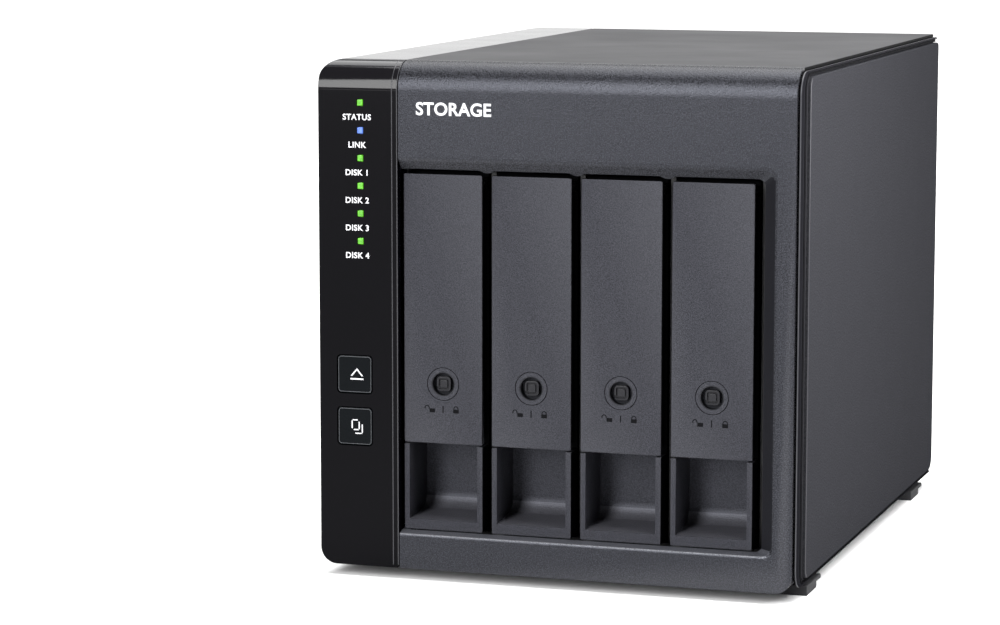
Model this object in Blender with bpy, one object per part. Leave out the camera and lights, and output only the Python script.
"""Four-bay desktop storage enclosure, one object for each physical piece.

All sizes below are millimetres; meshes are scaled to metres when they are made. X runs to the right as
seen from the front, Y from the front plane to the back, and Z up. The origin is on the floor under the
middle of the case. DEPTH_SHIFT moves "distance behind the front plane" into that frame.
"""
import bmesh
import bpy
from math import atan2, cos, pi, radians, sin, tan
from mathutils import Matrix, Vector

MM = 0.001

# Whole case
WIDTH = 160.0
DEPTH = 219.0
HEIGHT = 168.5
FLOOR_GAP = 3.6
GAP = 0.3
HALF = WIDTH / 2
DEPTH_SHIFT = -DEPTH / 2

# Outer shells
WALL = 2.5
FRONT_ROUND = 9.5
LEFT_TOP_ROUND = 5.5
BOTTOM_ROUND = 5.5
SEAM_X = -52.8
SHELL_RIGHT = 77.9
BEZEL_DEPTH = 9.7
TOP_RAIL = 163.0
SHELL_START = BEZEL_DEPTH + GAP
REAR_PLANE = 213.5
REAR_SHEET = 2.5
SIDE_PANEL_FRONT = 10.8
SIDE_PANEL_LOW = 6.3
SIDE_PANEL_TOP = 165.5
TRIM_FRONT = 1.8
TRIM_LOW = 4.6
TRIM_TOP = 167.4
TRIM_BACK = DEPTH - 0.5
TRIM_PROUD = 1.1
TRIM_BAND_CORNER = 4.3
TOP_WALL_LOW = 150.0
BASE_LEFT = -66.0

# Bay opening in the bezel, at the front plane and at the tray faces
OPENING_RIGHT = 71.7
OPENING_TOP = 137.3
OPENING_LOW = 14.4
THROAT_RIGHT = 67.3
THROAT_TOP = 134.1
THROAT_LOW = 15.3
THROAT_DEPTH = 3.2

# Bays and trays
BAYS = 4
BAY_PITCH = 29.85
TRAY_LEFT = -51.95
TRAY_WIDTH = 26.7
TRAY_LOW = 16.2
TRAY_TOP = 132.8
TRAY_FACE = 3.0
TRAY_BACK = 170.0
TRAY_ARM = 6.4
FRONT_BLOCK_BACK = 22.0
HANDLE_LOW = 44.9
HANDLE_THICK = 4.5
ARM_THICK = 1.7
SILL_THICK = 3.3
RECESS_BACK = 20.0
RECESS_TOP = 62.0
INNER_FACE = 9.8
HANDLE_AXIS_Z = 129.6
HANDLE_AXIS_Y = 6.0
PIN_RADIUS = 0.85
PIN_HOLE = 1.15
EAR_RADIUS = 1.8
LOCK_Z = 64.4
LOCK_RADIUS = 4.9
LOCK_HOLE = 5.2
KEYWAY_RADIUS = 3.6
KEYWAY_DEPTH = 2.4
KEY_CORE = 4.6
CAM_WIDTH = 4.4
CAM_BELOW = 3.2
CAM_ABOVE = 8.0
CAM_THICK = 1.5
VENT_ROWS = 5
VENT_LOW = 78.0
VENT_PITCH = 9.0
VENT_HEIGHT = 4.5
DRIVE_SCREW_ROWS = (50.0, 92.0, 134.0)

# Drive cage and backplane
CAGE_FRONT = 10.4
CAGE_BACK = 171.0
CAGE_LOW = 14.0
CAGE_TOP = 135.5
CAGE_SHEET = 1.6
TRAY_CLEARANCE = 0.6
BACKPLANE_Y = 176.0
BOARD_THICK = 1.6
SOCKET_FRONT = 170.6
SOCKET_LOW = 38.0
SOCKET_TOP = 80.0
SOCKET_HALF = 3.2
SOCKET_OFFSET = 5.0

# Status panel, its buttons and lights
STATUS_RIGHT = -53.1
BUTTON_X = -67.9
BUTTON_WIDTH = 11.9
BUTTON_HEIGHT = 12.3
BUTTON_HEIGHTS = {"eject_button": 66.7, "copy_button": 49.6}
LIGHT_X = -65.7
LIGHT_TOP = 155.0
LIGHT_PITCH = 8.95
LIGHT_SIZE = 2.0
CONTROL_FRONT = 0.05
LIGHT_NAMES = ("status_light", "link_light", "disk_light_1", "disk_light_2", "disk_light_3", "disk_light_4")
FRONT_BOARD_Y = 6.5
FRONT_BOARD_LOW = 36.0
FRONT_BOARD_TOP = 161.0

# Feet: left edge of each side's pair, front edge of each end's pair
FOOT_LEFTS = {"left": -79.3, "right": 66.2}
FOOT_FRONTS = {"front": 16.0, "rear": 184.0}
FOOT_WIDTH = 13.1
FOOT_LENGTH = 20.0
PAD_LENGTH = 13.7
PAD_HEIGHT = 1.9

# Fan and rear connectors
FAN_X = 6.0
FAN_Z = 86.0
FAN_SIZE = 120.0
FAN_DEPTH = 25.0
FAN_BORE = 58.0
FAN_FRONT = REAR_PLANE - GAP - FAN_DEPTH
ROTOR_RADIUS = 54.5
HUB_RADIUS = 20.0
BLADES = 9
MOTOR_MOUNT = 3.0
STRUTS = 4
STRUT_WIDTH = 4.0
BLADE_SECTIONS = ((HUB_RADIUS - 2, 42, 20), (32, 36, 24), (45, 30, 27), (ROTOR_RADIUS, 25, 28))
BLADE_THICK = 1.2
SCREW_HOLE = 2.1
SCREW_HEAD = 3.4
SCREW_SHANK = 1.7
REAR_HOLE = 56.0
SCREW_SPACING = 52.5
GUARD_RINGS = (6.0, 20.0, 22.0, 33.5, 35.5, 47.0, 49.0, 57.5, 60.0)
GUARD_SPOKES = 6
GUARD_SPOKE_HALF_ANGLE = 2.0
GUARD_STEPS = 6
PORT_X = -66.0
MAIN_BOARD_X = -73.2
MAIN_BOARD_RIGHT = MAIN_BOARD_X + BOARD_THICK
PORT_Z = 88.0
PORT_WIDTH = 3.2
PORT_HEIGHT = 9.0
POWER_SOCKET_Z = 40.0
JACK_WIDTH = 10.7
JACK_HEIGHT = 10.0
SECURITY_SLOT = (63.0, 70.0)
POWER_BUTTON_Z = 150.0
POWER_BUTTON_RADIUS = 5.0
SET_BUTTON_Z = 110.0
SET_BUTTON_RADIUS = 2.0
MODE_SWITCH_Z = 129.0
MODE_PITCH = 4.0
MODE_HALF_HEIGHT = 7.0
MODE_HALF_WIDTH = 5.0
MODE_SLOT_HALF = 2.6
MAIN_BOARD_FRONT = 60.0
MAIN_BOARD_LOW = 12.0
MAIN_BOARD_TOP = 158.0
SINK_FRONT = 110.0
SINK_LOW = 74.0
SINK_TOP = 102.0
SINK_FINS = 7
SINK_PITCH = 4.6
SINK_FIN = 1.4
SINK_BASE = 2.5
SINK_HEIGHT = 9.0


def clear_scene():
    for old in list(bpy.data.objects):
        bpy.data.objects.remove(old, do_unlink=True)


def material(name, colour, roughness, metallic=0.0, glow=0.0):
    look = bpy.data.materials.new(name)
    look.use_nodes = True
    shader = look.node_tree.nodes["Principled BSDF"]
    shader.inputs["Base Color"].default_value = (*colour, 1.0)
    shader.inputs["Roughness"].default_value = roughness
    shader.inputs["Metallic"].default_value = metallic
    shader.inputs["Emission Color"].default_value = (*colour, 1.0)
    shader.inputs["Emission Strength"].default_value = glow
    return look


def arc(centre, radius, start, end, steps):
    """Points on an arc about centre, from the start to the end angle in degrees."""
    angles = [radians(start + (end - start) * step / steps) for step in range(steps + 1)]
    return [(centre[0] + radius * cos(angle), centre[1] + radius * sin(angle)) for angle in angles]


def outline(*corners, steps=5):
    """Closed outline through corners (a, b, radius), each rounded by its own radius."""
    points = []
    for index, (a, b, radius) in enumerate(corners):
        corner = Vector((a, b))
        if radius == 0:
            points.append((a, b))
            continue
        towards_last = (Vector(corners[index - 1][:2]) - corner).normalized()
        towards_next = (Vector(corners[(index + 1) % len(corners)][:2]) - corner).normalized()
        half_angle = towards_last.angle(towards_next) / 2
        centre = corner + (towards_last + towards_next).normalized() * (radius / sin(half_angle))
        first = corner + towards_last * (radius / tan(half_angle)) - centre
        turn = 1.0 if towards_last.cross(towards_next) < 0 else -1.0
        sweep = turn * (pi - 2 * half_angle)
        start = atan2(first.y, first.x)
        for step in range(steps + 1):
            angle = start + sweep * step / steps
            points.append((centre.x + radius * cos(angle), centre.y + radius * sin(angle)))
    return points


def rectangle(low, high, radius=0.0, steps=4):
    """Outline of a rectangle between two corners, with all four corners rounded alike."""
    (a0, b0), (a1, b1) = low, high
    return outline((a0, b0, radius), (a1, b0, radius), (a1, b1, radius), (a0, b1, radius), steps=steps)


def circle(centre, radius, sides):
    step = 360 / sides
    return arc(centre, radius, 0, 360 - step, sides - 1)


def place(axis, a, b, along):
    """Point at (a, b) in the plane across an axis: x takes (y, z), y takes (x, z), z takes (x, y)."""
    return {"x": (along, a, b), "y": (a, along, b), "z": (a, b, along)}[axis]


def loft(axis, *sections):
    """Closed solid through sections (distance along the axis, outline) of equal point counts."""
    mesh = bmesh.new()
    rings = [[mesh.verts.new(place(axis, a, b, along)) for a, b in points] for along, points in sections]
    count = len(rings[0])
    for ring, above in zip(rings, rings[1:]):
        for index in range(count):
            after = (index + 1) % count
            mesh.faces.new((ring[index], ring[after], above[after], above[index]))
    mesh.faces.new(rings[0])
    mesh.faces.new(rings[-1])
    bmesh.ops.recalc_face_normals(mesh, faces=mesh.faces)
    return mesh


def prism(axis, points, low, high):
    return loft(axis, (low, points), (high, points))


def block(low, high):
    """Plain block between two opposite corners (x, y, z)."""
    return prism("y", rectangle((low[0], low[2]), (high[0], high[2])), low[1], high[1])


def grid_solid(axis, low, high, across, up, is_solid, position=None):
    """Plate cut into cells by lines, extruded along an axis; is_solid(i, j) keeps or opens a cell."""
    position = position or (lambda a, b: (a, b))
    mesh = bmesh.new()
    wraps = across[0] == across[-1]
    columns = len(across) - 1
    corners = {}

    def corner(i, j, along):
        key = (i % columns if wraps else i, j, along)
        if key not in corners:
            a, b = position(across[key[0]], up[j])
            corners[key] = mesh.verts.new(place(axis, a, b, along))
        return corners[key]

    def filled(i, j):
        i = i % columns if wraps else i
        return 0 <= i < columns and 0 <= j < len(up) - 1 and is_solid(i, j)

    for i in range(columns):
        for j in range(len(up) - 1):
            if not filled(i, j):
                continue
            square = ((i, j), (i + 1, j), (i + 1, j + 1), (i, j + 1))
            for along in (low, high):
                mesh.faces.new([corner(p, q, along) for p, q in square])
            neighbours = ((i, j - 1), (i + 1, j), (i, j + 1), (i - 1, j))
            for side, neighbour in enumerate(neighbours):
                if filled(*neighbour):
                    continue
                first, second = square[side], square[(side + 1) % 4]
                mesh.faces.new((corner(*first, low), corner(*second, low), corner(*second, high),
                                corner(*first, high)))
    bmesh.ops.recalc_face_normals(mesh, faces=mesh.faces)
    return mesh


def add_object(name, mesh, pivot=(0.0, 0.0, 0.0)):
    """Turn a millimetre bmesh, with Y counted from the front plane, into an object at its pivot."""
    bmesh.ops.translate(mesh, verts=mesh.verts, vec=[-value for value in pivot])
    bmesh.ops.scale(mesh, verts=mesh.verts, vec=(MM, MM, MM))
    data = bpy.data.meshes.new(name)
    mesh.to_mesh(data)
    mesh.free()
    item = bpy.data.objects.new(name, data)
    item.location = (pivot[0] * MM, (pivot[1] + DEPTH_SHIFT) * MM, pivot[2] * MM)
    bpy.context.scene.collection.objects.link(item)
    return item


def combine(item, operation, mesh):
    """Join a solid to a piece, or cut it away."""
    tool = add_object(f"{item.name}_tool_{len(item.modifiers)}", mesh)
    tool.hide_render = True
    tool.display_type = "WIRE"
    step = item.modifiers.new(tool.name, "BOOLEAN")
    step.operation = operation
    step.object = tool
    step.solver = "EXACT"


def part(name, mesh, look, pivot=(0.0, 0.0, 0.0), smooth=False, remove=(), unite=()):
    """One named piece; remove and unite hold solids that are cut from it or joined to it."""
    item = add_object(name, mesh, pivot)
    item.data.materials.append(look)
    for tool in unite:
        combine(item, "UNION", tool)
    for tool in remove:
        combine(item, "DIFFERENCE", tool)
    if smooth:
        item.data.shade_smooth()
        item.data.set_sharp_from_angle(angle=radians(40))
    return item


def front_round_cutter(left, right):
    """Waste outside the round edge where the front turns into the top."""
    centre = (FRONT_ROUND, HEIGHT - FRONT_ROUND)
    edge = arc(centre, FRONT_ROUND, 180, 90, 8)
    waste = [(-1.0, edge[0][1]), *edge, (edge[-1][0], HEIGHT + 1.0), (-1.0, HEIGHT + 1.0)]
    return prism("x", waste, left, right)


def tray_left(bay):
    return TRAY_LEFT + BAY_PITCH * bay


def tray_middle(bay):
    return tray_left(bay) + TRAY_WIDTH / 2


def make_bezel(looks):
    left = SEAM_X + GAP / 2
    body = outline((left, FLOOR_GAP, 0), (SHELL_RIGHT, FLOOR_GAP, BOTTOM_ROUND), (SHELL_RIGHT, HEIGHT, 1.5),
                   (left, HEIGHT, 0))
    hollow = block((left + WALL, TRAY_FACE, FLOOR_GAP + WALL),
                   (SHELL_RIGHT - WALL, BEZEL_DEPTH + 1, TOP_RAIL))
    beyond = left - 5
    wide = outline((beyond, OPENING_LOW, 0), (OPENING_RIGHT, OPENING_LOW, 4),
                   (OPENING_RIGHT, OPENING_TOP, 4), (beyond, OPENING_TOP, 0))
    throat = outline((beyond, THROAT_LOW, 0), (THROAT_RIGHT, THROAT_LOW, 2), (THROAT_RIGHT, THROAT_TOP, 2),
                     (beyond, THROAT_TOP, 0))
    opening = loft("y", (-0.1, wide), (0.0, wide), (THROAT_DEPTH, throat), (BEZEL_DEPTH + 2, throat))
    part("front_bezel", prism("y", body, 0.0, BEZEL_DEPTH), looks["grained"], smooth=True,
         remove=(hollow, opening, front_round_cutter(left - 1, SHELL_RIGHT + 1)))


def make_status_panel(looks):
    depth = BEZEL_DEPTH - 0.5
    body = outline((-HALF, FLOOR_GAP, BOTTOM_ROUND), (STATUS_RIGHT, FLOOR_GAP, 0.6),
                   (STATUS_RIGHT, HEIGHT, 0.6), (-HALF, HEIGHT, LEFT_TOP_ROUND))
    hollow = block((-HALF + WALL, TRAY_FACE, FLOOR_GAP + 3.4), (STATUS_RIGHT - WALL, depth + 1, TOP_RAIL))
    holes = [button_prism(height, GAP, -1.0, TRAY_FACE + 1) for height in BUTTON_HEIGHTS.values()]
    half = LIGHT_SIZE / 2 + GAP
    for index in range(len(LIGHT_NAMES)):
        height = LIGHT_TOP - LIGHT_PITCH * index
        holes.append(block((LIGHT_X - half, -1.0, height - half),
                           (LIGHT_X + half, TRAY_FACE + 1, height + half)))
    part("status_panel", prism("y", body, 0.0, depth), looks["gloss"], smooth=True,
         remove=(hollow, front_round_cutter(-HALF - 1, STATUS_RIGHT + 1), *holes))


def button_prism(height, margin, front, back):
    half_width = BUTTON_WIDTH / 2 + margin
    half_height = BUTTON_HEIGHT / 2 + margin
    shape = rectangle((BUTTON_X - half_width, height - half_height),
                      (BUTTON_X + half_width, height + half_height), 1.2 + margin, steps=3)
    return prism("y", shape, front, back)


def make_front_controls(looks):
    for name, height in BUTTON_HEIGHTS.items():
        stem = prism("y", circle((BUTTON_X, height), 2.0, 16), 1.5, FRONT_BOARD_Y - 1.1)
        part(name, button_prism(height, 0.0, CONTROL_FRONT, 2.2), looks["gloss"], unite=(stem,))
    half = LIGHT_SIZE / 2
    for index, name in enumerate(LIGHT_NAMES):
        height = LIGHT_TOP - LIGHT_PITCH * index
        colour = looks["blue_light"] if name == "link_light" else looks["green_light"]
        shape = rectangle((LIGHT_X - half, height - half), (LIGHT_X + half, height + half))
        part(name, prism("y", shape, CONTROL_FRONT, FRONT_BOARD_Y - GAP), colour)
    inset = WALL + 0.4
    board = block((-HALF + inset, FRONT_BOARD_Y, FRONT_BOARD_LOW),
                  (STATUS_RIGHT - inset, FRONT_BOARD_Y + BOARD_THICK, FRONT_BOARD_TOP))
    part("front_control_board", board, looks["board"])


def make_shells(looks):
    seam = SEAM_X - GAP / 2
    left = outline((seam, HEIGHT, 0), (-HALF, HEIGHT, LEFT_TOP_ROUND), (-HALF, FLOOR_GAP, BOTTOM_ROUND),
                   (BASE_LEFT, FLOOR_GAP, 0), (BASE_LEFT, FLOOR_GAP + WALL, 0),
                   (-HALF + WALL, FLOOR_GAP + WALL, 3),
                   (-HALF + WALL, HEIGHT - WALL, 3), (seam, HEIGHT - WALL, 0))
    part("left_shell", prism("y", left, BEZEL_DEPTH - 0.2, DEPTH), looks["smooth_plastic"], smooth=True)
    top = outline((SEAM_X + GAP / 2, HEIGHT, 0), (SEAM_X + GAP / 2, HEIGHT - WALL, 0),
                  (SHELL_RIGHT - WALL, HEIGHT - WALL, 0), (SHELL_RIGHT - WALL, TOP_WALL_LOW, 0),
                  (SHELL_RIGHT, TOP_WALL_LOW, 0), (SHELL_RIGHT, HEIGHT, 1.5))
    part("top_cover", prism("y", top, SHELL_START, DEPTH), looks["smooth_plastic"], smooth=True)
    base = outline((BASE_LEFT + GAP, FLOOR_GAP, 0), (SHELL_RIGHT, FLOOR_GAP, BOTTOM_ROUND),
                   (SHELL_RIGHT, TOP_WALL_LOW - GAP, 0), (SHELL_RIGHT - WALL, TOP_WALL_LOW - GAP, 0),
                   (SHELL_RIGHT - WALL, FLOOR_GAP + WALL, 3), (BASE_LEFT + GAP, FLOOR_GAP + WALL, 0))
    part("base_chassis", prism("y", base, SHELL_START, DEPTH), looks["smooth_plastic"], smooth=True)


def make_side_panel(looks):
    inner = SHELL_RIGHT + GAP
    frame = outline((TRIM_BACK, TRIM_TOP, 0), (TRIM_FRONT, TRIM_TOP, 7.5), (TRIM_FRONT, TRIM_LOW, 6.0),
                    (TRIM_BACK, TRIM_LOW, 0), (TRIM_BACK, SIDE_PANEL_LOW - GAP, 0),
                    (SIDE_PANEL_FRONT - GAP, SIDE_PANEL_LOW - GAP, TRIM_BAND_CORNER),
                    (SIDE_PANEL_FRONT - GAP, SIDE_PANEL_TOP + GAP, TRIM_BAND_CORNER),
                    (TRIM_BACK, SIDE_PANEL_TOP + GAP, 0))
    part("side_trim_frame", prism("x", frame, inner, inner + TRIM_PROUD), looks["grained"], smooth=True)
    panel = outline((SIDE_PANEL_FRONT, SIDE_PANEL_LOW, 4), (DEPTH, SIDE_PANEL_LOW, 5),
                    (DEPTH, SIDE_PANEL_TOP, 2), (SIDE_PANEL_FRONT, SIDE_PANEL_TOP, 4))
    part("right_side_panel", prism("x", panel, inner, HALF), looks["grained"], smooth=True)


def make_feet(looks):
    """Stepped feet: a short pad on the floor under a longer block."""
    top = FLOOR_GAP - GAP
    for side, x in FOOT_LEFTS.items():
        for end, y in FOOT_FRONTS.items():
            profile = [(y, 0.0), (y + PAD_LENGTH, 0.0), (y + PAD_LENGTH, PAD_HEIGHT),
                       (y + FOOT_LENGTH, PAD_HEIGHT), (y + FOOT_LENGTH, top), (y, top)]
            part(f"foot_{end}_{side}", prism("x", profile, x, x + FOOT_WIDTH), looks["rubber"])


def make_cage(looks):
    """One sheet-metal cage, open front and back, with a partition between neighbouring bays."""
    across = [tray_left(0) - TRAY_CLEARANCE - CAGE_SHEET]
    for bay in range(BAYS):
        across += [tray_left(bay) - TRAY_CLEARANCE, tray_left(bay) + TRAY_WIDTH + TRAY_CLEARANCE]
    across.append(across[-1] + CAGE_SHEET)
    up = [CAGE_LOW, CAGE_LOW + CAGE_SHEET, CAGE_TOP - CAGE_SHEET, CAGE_TOP]
    part("drive_cage", grid_solid("y", CAGE_FRONT, CAGE_BACK, across, up,
                                  lambda i, j: j != 1 or i % 2 == 0), looks["black_steel"])


def make_backplane(looks):
    """Board behind the bays, pierced for air, with a connector for each drive."""
    left, right = tray_left(0) - 1.0, tray_left(BAYS - 1) + TRAY_WIDTH + 1.0
    across = [left]
    for bay in range(BAYS):
        across += [tray_middle(bay) - 8.0, tray_middle(bay) + 8.0]
    across.append(right)
    up = [16.5, 22.0, 35.0, 82.0, 120.0, 132.5]
    part("backplane_board", grid_solid("y", BACKPLANE_Y, BACKPLANE_Y + BOARD_THICK, across, up,
                                       lambda i, j: i % 2 == 0 or j not in (1, 3)), looks["board"])
    for bay in range(BAYS):
        middle = tray_middle(bay) + SOCKET_OFFSET
        socket = block((middle - SOCKET_HALF, SOCKET_FRONT, SOCKET_LOW),
                       (middle + SOCKET_HALF, BACKPLANE_Y - GAP, SOCKET_TOP))
        slot = block((middle - 1.2, SOCKET_FRONT - 1, SOCKET_LOW + 3),
                     (middle + 1.2, SOCKET_FRONT + 3.5, SOCKET_TOP - 3))
        part(f"drive_connector_{bay + 1}", socket, looks["dark_plastic"], remove=(slot,))


def make_tray(bay, looks):
    """Sled with a finger recess in front and two arms that carry a drive."""
    left, right = tray_left(bay), tray_left(bay) + TRAY_WIDTH
    middle = tray_middle(bay)
    side = [(TRAY_FACE, TRAY_LOW), (TRAY_BACK, TRAY_LOW), (TRAY_BACK, TRAY_LOW + TRAY_ARM),
            (FRONT_BLOCK_BACK, TRAY_LOW + TRAY_ARM), (FRONT_BLOCK_BACK, TRAY_TOP - TRAY_ARM),
            (TRAY_BACK, TRAY_TOP - TRAY_ARM), (TRAY_BACK, TRAY_TOP), (INNER_FACE, TRAY_TOP),
            (INNER_FACE, HANDLE_LOW - 0.4), (TRAY_FACE, HANDLE_LOW - 0.4)]
    sill = TRAY_LOW + SILL_THICK
    recess = [(TRAY_FACE - 1, sill), (RECESS_BACK - 3.5, sill + 0.6), (RECESS_BACK, sill + 4.6),
              (RECESS_BACK, RECESS_TOP), (TRAY_FACE - 1, RECESS_TOP)]
    ears = []
    for x in (left, right - ARM_THICK):
        nose = arc((HANDLE_AXIS_Y, HANDLE_AXIS_Z), EAR_RADIUS, 270, 90, 8)
        ear = [(INNER_FACE + 1, HANDLE_AXIS_Z - EAR_RADIUS), *nose,
               (INNER_FACE + 1, HANDLE_AXIS_Z + EAR_RADIUS)]
        ears.append(prism("x", ear, x, x + ARM_THICK))
    pin_hole = prism("x", circle((HANDLE_AXIS_Y, HANDLE_AXIS_Z), PIN_HOLE, 12), left - 1, right + 1)
    lock_pocket = prism("y", circle((middle, LOCK_Z + 1.5), 8.0, 16), INNER_FACE - 1, INNER_FACE + 3)
    vents = []
    for row in range(VENT_ROWS):
        low = VENT_LOW + row * VENT_PITCH
        vents.append(block((left + 5, INNER_FACE - 1, low),
                           (right - 5, FRONT_BLOCK_BACK + 1, low + VENT_HEIGHT)))
    drive_screw_slots = []
    for y in DRIVE_SCREW_ROWS:
        slot = rectangle((middle - 2.0, y - 4.0), (middle + 2.0, y + 4.0), 1.9, steps=2)
        drive_screw_slots.append(prism("z", slot, TRAY_LOW - 1, TRAY_TOP + 1))
    part(f"tray_sled_{bay + 1}", prism("x", side, left, right), looks["grained"], unite=ears,
         remove=(prism("x", recess, left + ARM_THICK, right - ARM_THICK), pin_hole, lock_pocket, *vents,
                 *drive_screw_slots))
    pin = prism("x", circle((HANDLE_AXIS_Y, HANDLE_AXIS_Z), PIN_RADIUS, 12), left + 0.3, right - 0.3)
    part(f"handle_pin_{bay + 1}", pin, looks["steel"])


def make_handle(bay, looks):
    """Flat plate over the upper tray, hinged at its top edge, with a bore for the lock."""
    left, right = tray_left(bay) + 0.05, tray_left(bay) + TRAY_WIDTH - 0.05
    back = TRAY_FACE + HANDLE_THICK
    plate = outline((TRAY_FACE, HANDLE_LOW, 0.6), (back, HANDLE_LOW, 1.0), (back, TRAY_TOP - 0.3, 1.0),
                    (TRAY_FACE, TRAY_TOP - 0.3, 0.6), steps=2)
    notches = []
    for low, high in ((left - 1, tray_left(bay) + ARM_THICK + GAP),
                      (right - ARM_THICK - GAP + 0.05, right + 1)):
        notches.append(block((low, TRAY_FACE + 1.1, HANDLE_AXIS_Z - EAR_RADIUS - 1.0),
                             (high, back + 1, TRAY_TOP + 1)))
    pin_hole = prism("x", circle((HANDLE_AXIS_Y, HANDLE_AXIS_Z), PIN_HOLE, 12), left - 1, right + 1)
    lock_hole = prism("y", circle((tray_middle(bay), LOCK_Z), LOCK_HOLE, 28), TRAY_FACE - 1, back + 1)
    part(f"tray_handle_{bay + 1}", prism("x", plate, left, right), looks["grained"],
         pivot=(tray_middle(bay), HANDLE_AXIS_Y, HANDLE_AXIS_Z), remove=(*notches, pin_hole, lock_hole))


def make_lock(bay, looks):
    """Round lock barrel flush with the handle, with a square key core in a sunk ring and a cam behind."""
    middle = (tray_middle(bay), LOCK_Z)
    handle_back = TRAY_FACE + HANDLE_THICK
    barrel = prism("y", circle(middle, LOCK_RADIUS, 28), TRAY_FACE, handle_back + 1.0)
    keyway = prism("y", circle(middle, KEYWAY_RADIUS, 24), TRAY_FACE - 1, TRAY_FACE + KEYWAY_DEPTH)
    core_half = KEY_CORE / 2
    core = prism("y", rectangle((middle[0] - core_half, LOCK_Z - core_half),
                                (middle[0] + core_half, LOCK_Z + core_half), 0.9, steps=3),
                 TRAY_FACE + 0.5, TRAY_FACE + 3.0)
    cam_shape = rectangle((middle[0] - CAM_WIDTH / 2, LOCK_Z - CAM_BELOW),
                          (middle[0] + CAM_WIDTH / 2, LOCK_Z + CAM_ABOVE), 1.8, steps=3)
    cam = prism("y", cam_shape, handle_back + 0.4, handle_back + 0.4 + CAM_THICK)
    lock = part(f"lock_cylinder_{bay + 1}", barrel, looks["dark_plastic"],
                pivot=(middle[0], TRAY_FACE, LOCK_Z), unite=(cam,), remove=(keyway,))
    combine(lock, "UNION", core)


def make_fan(looks):
    """Square fan frame with its motor mount on struts, and the bladed rotor that turns in it."""
    half = FAN_SIZE / 2
    back = FAN_FRONT + FAN_DEPTH
    body = prism("y", rectangle((FAN_X - half, FAN_Z - half), (FAN_X + half, FAN_Z + half), 4.0, steps=3),
                 FAN_FRONT, back)
    bore = prism("y", circle((FAN_X, FAN_Z), FAN_BORE, 48), FAN_FRONT - 1, back + 1)
    mount_front = back - MOTOR_MOUNT
    hub_mount = prism("y", circle((FAN_X, FAN_Z), HUB_RADIUS, 24), mount_front, back)
    screw_holes = []
    for side in (-1, 1):
        for level in (-1, 1):
            centre = (FAN_X + side * SCREW_SPACING, FAN_Z + level * SCREW_SPACING)
            screw_holes.append(prism("y", circle(centre, SCREW_HOLE, 10), FAN_FRONT - 1, back + 1))
    frame = part("fan_frame", body, looks["dark_plastic"], remove=(bore, *screw_holes))
    for index in range(STRUTS):
        turn = Matrix.Rotation(radians(45) + 2 * pi * index / STRUTS, 4, "Y")
        strut = block((HUB_RADIUS - 2, mount_front, -STRUT_WIDTH / 2), (FAN_BORE + 2, back, STRUT_WIDTH / 2))
        bmesh.ops.transform(strut, verts=strut.verts, matrix=turn)
        bmesh.ops.translate(strut, verts=strut.verts, vec=(FAN_X, 0, FAN_Z))
        combine(frame, "UNION", strut)
    combine(frame, "UNION", hub_mount)
    hub = prism("y", circle((FAN_X, FAN_Z), HUB_RADIUS, 32), FAN_FRONT + 1.5, mount_front - GAP)
    part("fan_rotor", hub, looks["dark_plastic"], pivot=(FAN_X, FAN_FRONT, FAN_Z),
         unite=[fan_blade(index) for index in range(BLADES)])


def fan_blade(index):
    """Twisted blade: its chord turns from steep at the hub to shallow at the tip."""
    sections = []
    half = BLADE_THICK / 2
    for radius, pitch, chord in BLADE_SECTIONS:
        rise, run = sin(radians(pitch)), cos(radians(pitch))
        corners = []
        for along, thick in ((-0.5, -half), (0.5, -half), (0.5, half), (-0.5, half)):
            across = along * chord * run - thick * rise
            depth = along * chord * rise * 0.9 + thick * run
            corners.append((depth + FAN_FRONT + 11.5, across))
        sections.append((radius, corners))
    blade = loft("x", *sections)
    bmesh.ops.transform(blade, verts=blade.verts, matrix=Matrix.Rotation(2 * pi * index / BLADES, 4, "Y"))
    bmesh.ops.translate(blade, verts=blade.verts, vec=(FAN_X, 0, FAN_Z))
    return blade


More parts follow.
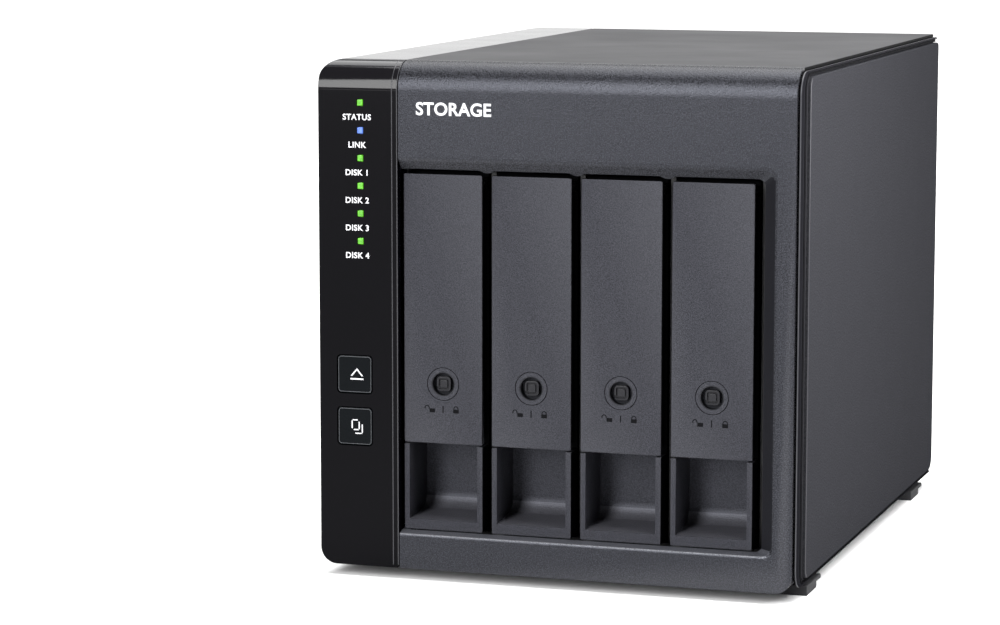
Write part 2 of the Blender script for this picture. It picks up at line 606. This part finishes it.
def make_rear(looks):
    """Rear sheet with its cut-outs, and the fan guard and screws that go through it."""
    back = REAR_PLANE + REAR_SHEET
    inset = WALL + GAP
    left, right = -HALF + inset, SHELL_RIGHT - inset
    low, top = FLOOR_GAP + inset, HEIGHT - inset
    sheet = outline((left, low, 3), (right, low, 3), (right, top, 0), (left, top, 3))
    holes = [prism("y", circle((FAN_X, FAN_Z), REAR_HOLE, 48), REAR_PLANE - 1, back + 1)]
    screws = {}
    for side, x in (("left", -1), ("right", 1)):
        for level, z in (("low", -1), ("high", 1)):
            screws[f"fan_screw_{level}_{side}"] = (FAN_X + x * SCREW_SPACING, FAN_Z + z * SCREW_SPACING)
    for centre in screws.values():
        holes.append(prism("y", circle(centre, SCREW_HOLE, 10), REAR_PLANE - 1, back + 1))
    port_half = PORT_HEIGHT / 2 + GAP
    jack_half = JACK_HEIGHT / 2 + GAP
    mode_half = MODE_HALF_HEIGHT + GAP
    cut_outs = (
        circle((PORT_X, POWER_BUTTON_Z), POWER_BUTTON_RADIUS + GAP, 24),
        circle((PORT_X, SET_BUTTON_Z), SET_BUTTON_RADIUS + GAP, 16),
        rectangle((MAIN_BOARD_RIGHT, MODE_SWITCH_Z - mode_half),
                  (PORT_X + MODE_HALF_WIDTH + GAP, MODE_SWITCH_Z + mode_half)),
        rectangle((MAIN_BOARD_RIGHT, PORT_Z - port_half),
                  (MAIN_BOARD_RIGHT + PORT_WIDTH + 2 * GAP, PORT_Z + port_half), 1.5, steps=3),
        rectangle((PORT_X - 1.5, SECURITY_SLOT[0]), (PORT_X + 1.5, SECURITY_SLOT[1]), 1.0, steps=2),
        rectangle((MAIN_BOARD_RIGHT, POWER_SOCKET_Z - jack_half),
                  (MAIN_BOARD_RIGHT + JACK_WIDTH + 2 * GAP, POWER_SOCKET_Z + jack_half)),
    )
    holes += [prism("y", shape, REAR_PLANE - 1, back + 1) for shape in cut_outs]
    part("rear_panel", prism("y", sheet, REAR_PLANE, back), looks["smooth_plastic"], remove=holes)
    for name, centre in screws.items():
        head = prism("y", circle(centre, SCREW_HEAD, 16), back + GAP, back + 2.0)
        shank = prism("y", circle(centre, SCREW_SHANK, 10), REAR_PLANE - 9.0, back + 1.0)
        part(name, head, looks["steel"], unite=(shank,))
    turns = []
    for spoke in range(GUARD_SPOKES):
        first = 360.0 * spoke / GUARD_SPOKES - GUARD_SPOKE_HALF_ANGLE
        last = first + 360.0 / GUARD_SPOKES
        open_from = first + 2 * GUARD_SPOKE_HALF_ANGLE
        turns.append(first)
        turns += [open_from + (last - open_from) * step / GUARD_STEPS for step in range(GUARD_STEPS)]
    turns.append(turns[0])

    def guard_cell(i, j):
        return j % 2 == 1 or i % (GUARD_STEPS + 1) == 0

    def on_guard(turn, radius):
        angle = radians(turn)
        return FAN_X + radius * cos(angle), FAN_Z + radius * sin(angle)

    part("fan_guard", grid_solid("y", back + GAP, back + 1.8, turns, GUARD_RINGS, guard_cell, on_guard),
         looks["steel"])


def make_rear_controls(looks):
    """Buttons, switches and sockets that show in the rear panel, and the board that carries them."""
    back = REAR_PLANE + REAR_SHEET
    near = MAIN_BOARD_RIGHT + GAP
    part("main_board", block((MAIN_BOARD_X, MAIN_BOARD_FRONT, MAIN_BOARD_LOW),
                             (MAIN_BOARD_RIGHT, REAR_PLANE - 1.0, MAIN_BOARD_TOP)), looks["board"])
    cap = prism("y", circle((PORT_X, POWER_BUTTON_Z), POWER_BUTTON_RADIUS, 24), REAR_PLANE - 3.0, back + 0.6)
    part("power_button", cap, looks["dark_plastic"], smooth=True)
    pin = prism("y", circle((PORT_X, SET_BUTTON_Z), SET_BUTTON_RADIUS, 16), REAR_PLANE - 4.0, back - 0.4)
    part("set_button", pin, looks["dark_plastic"], smooth=True)
    slots = []
    for index in range(3):
        height = MODE_SWITCH_Z + MODE_PITCH * (index - 1)
        slots.append(block((PORT_X - MODE_SLOT_HALF, REAR_PLANE - 2.5, height - 1.2),
                           (PORT_X + MODE_SLOT_HALF, back, height + 1.2)))
        slider = block((PORT_X - MODE_SLOT_HALF + GAP, REAR_PLANE - 2.2, height - 0.8),
                       (PORT_X - GAP, back - 0.4, height + 0.8))
        part(f"mode_slider_{index + 1}", slider, looks["white_plastic"])
    part("mode_switch", block((near, REAR_PLANE - 5.0, MODE_SWITCH_Z - MODE_HALF_HEIGHT),
                              (PORT_X + MODE_HALF_WIDTH, back - 0.8, MODE_SWITCH_Z + MODE_HALF_HEIGHT)),
         looks["red_plastic"], remove=slots)
    port_half = PORT_HEIGHT / 2
    shell = rectangle((near, PORT_Z - port_half), (near + PORT_WIDTH, PORT_Z + port_half), 1.3, steps=3)
    mouth = rectangle((near + GAP, PORT_Z - port_half + 0.6),
                      (near + PORT_WIDTH - GAP, PORT_Z + port_half - 0.6), 1.0, steps=3)
    port = part("link_port", prism("y", shell, 205.0, back - 0.2), looks["steel"],
                remove=(prism("y", mouth, 208.5, back),))
    combine(port, "UNION", block((near + 1.3, 207.0, PORT_Z - 2.8), (near + 1.9, back - 1.2, PORT_Z + 2.8)))
    jack_middle = (near + JACK_WIDTH / 2, POWER_SOCKET_Z)
    jack = block((near, 203.0, POWER_SOCKET_Z - JACK_HEIGHT / 2),
                 (near + JACK_WIDTH, back - 0.2, POWER_SOCKET_Z + JACK_HEIGHT / 2))
    socket = part("power_socket", jack, looks["dark_plastic"],
                  remove=(prism("y", circle(jack_middle, 3.2, 20), 206.0, back),))
    combine(socket, "UNION", prism("y", circle(jack_middle, 1.0, 10), 205.0, back - 1.5))


def make_heat_sink(looks):
    """Finned block on the main board, fins upright."""
    base = MAIN_BOARD_RIGHT + GAP
    root, tip = base + SINK_BASE, base + SINK_HEIGHT
    comb = [(base, SINK_FRONT), (tip, SINK_FRONT)]
    for index in range(SINK_FINS - 1):
        fin_back = SINK_FRONT + index * SINK_PITCH + SINK_FIN
        next_front = SINK_FRONT + (index + 1) * SINK_PITCH
        comb += [(tip, fin_back), (root, fin_back), (root, next_front), (tip, next_front)]
    last_back = SINK_FRONT + (SINK_FINS - 1) * SINK_PITCH + SINK_FIN
    comb += [(tip, last_back), (base, last_back)]
    part("heat_sink", prism("z", comb, SINK_LOW, SINK_TOP), looks["aluminium"])


def main():
    clear_scene()
    looks = {
        "grained": material("grained_plastic", (0.085, 0.086, 0.098), 0.55),
        "smooth_plastic": material("smooth_plastic", (0.10, 0.10, 0.11), 0.42),
        "gloss": material("gloss_black", (0.010, 0.010, 0.012), 0.08),
        "dark_plastic": material("dark_plastic", (0.022, 0.022, 0.026), 0.45),
        "white_plastic": material("white_plastic", (0.75, 0.75, 0.72), 0.45),
        "red_plastic": material("red_plastic", (0.42, 0.03, 0.03), 0.45),
        "rubber": material("rubber", (0.030, 0.030, 0.033), 0.85),
        "steel": material("steel", (0.45, 0.45, 0.46), 0.38, metallic=1.0),
        "black_steel": material("black_steel", (0.012, 0.012, 0.014), 0.5),
        "aluminium": material("aluminium", (0.62, 0.62, 0.64), 0.35, metallic=1.0),
        "board": material("board", (0.02, 0.11, 0.05), 0.4),
        "green_light": material("green_light", (0.12, 0.70, 0.03), 0.3, glow=1.5),
        "blue_light": material("blue_light", (0.10, 0.22, 0.95), 0.3, glow=1.5),
    }
    make_bezel(looks)
    make_status_panel(looks)
    make_front_controls(looks)
    make_shells(looks)
    make_side_panel(looks)
    make_feet(looks)
    make_cage(looks)
    make_backplane(looks)
    for bay in range(BAYS):
        make_tray(bay, looks)
        make_handle(bay, looks)
        make_lock(bay, looks)
    make_fan(looks)
    make_rear(looks)
    make_rear_controls(looks)
    make_heat_sink(looks)


main()
